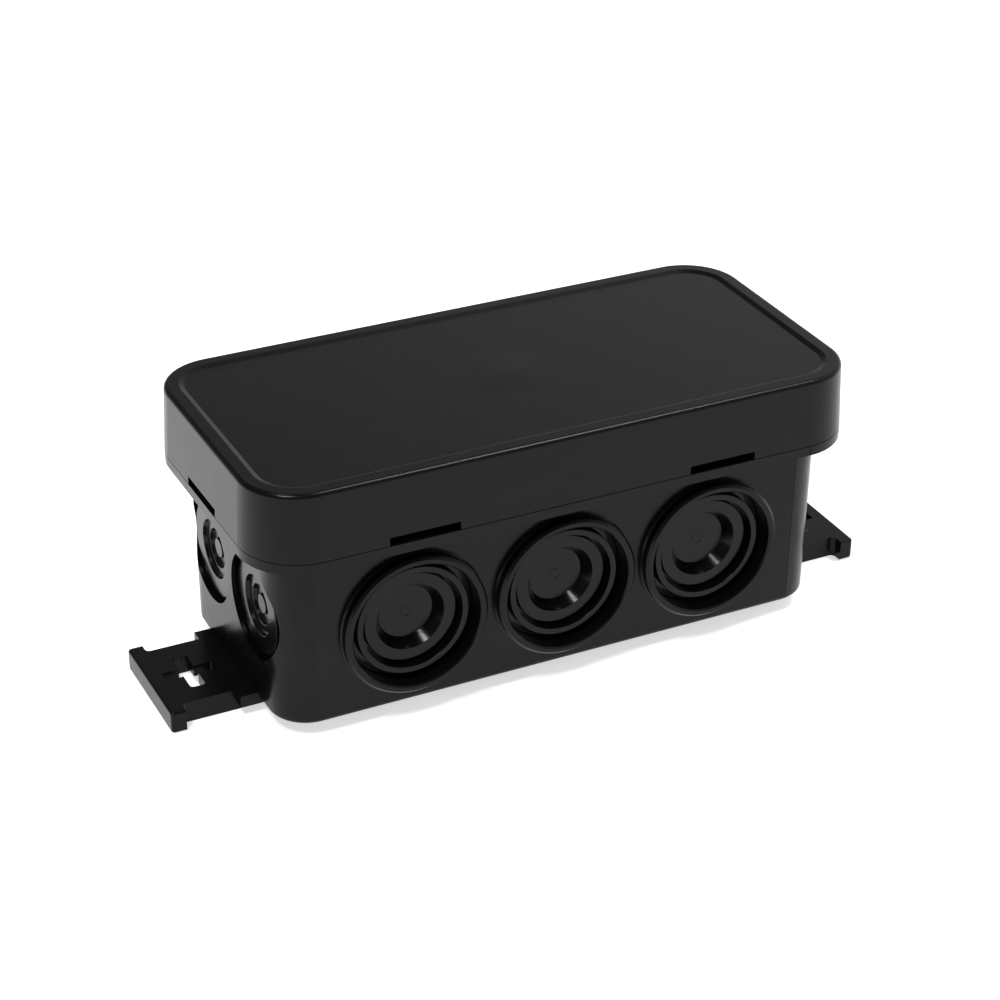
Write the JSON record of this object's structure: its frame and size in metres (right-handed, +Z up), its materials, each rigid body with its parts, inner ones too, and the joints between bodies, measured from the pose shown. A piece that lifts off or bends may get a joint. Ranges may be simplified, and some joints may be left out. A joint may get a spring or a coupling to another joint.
{
  "type": "pv junction box",
  "caption": "Small black surface-mounted junction box with a press-on lid, stepped soft cable entries on all four sides and pull-out mounting lugs.",
  "frame": {"origin": "middle of the mounting plane, under the centre of the box", "axes": "+X along the box, from lug to lug; -Y out of the front long wall; +Z up, out of the lid"},
  "size_m": [0.1068, 0.043, 0.0386],
  "materials": {
    "housing": "satin moulded black plastic",
    "membrane": "smooth soft black elastomer",
    "strip": "plain moulded grey-white plastic",
    "clamp": "bright drawn brass",
    "screw": "zinc-plated steel"
  },
  "bodies": {
    "box": {"base_housing": "housing", "membrane_front_left": "membrane", "membrane_front_centre": "membrane", "membrane_front_right": "membrane", "membrane_back_left": "membrane", "membrane_back_centre": "membrane", "membrane_back_right": "membrane", "membrane_left_end_front": "membrane", "membrane_left_end_back": "membrane", "membrane_right_end_front": "membrane", "membrane_right_end_back": "membrane", "terminal_strip": "strip", "terminal_clamp_1": "clamp", "terminal_clamp_2": "clamp", "terminal_clamp_3": "clamp", "terminal_clamp_4": "clamp", "terminal_clamp_5": "clamp", "clamp_screws": "screw", "strip_fixing_screws": "screw"},
    "lid": {"lid": "housing", "lid_seal": "membrane"},
    "lug_left": {"mounting_lug_left": "housing"},
    "lug_right": {"mounting_lug_right": "housing"}
  },
  "joints": [
    {"name": "lid_lift", "type": "slide", "parent": "box", "child": "lid", "axis": [0, 0, 1], "range_m": [0, 0.04]},
    {"name": "lug_left_slide", "type": "slide", "parent": "box", "child": "lug_left", "axis": [-1, 0, 0], "range_m": [-0.01, 0]},
    {"name": "lug_right_slide", "type": "slide", "parent": "box", "child": "lug_right", "axis": [1, 0, 0], "range_m": [-0.01, 0]}
  ]
}
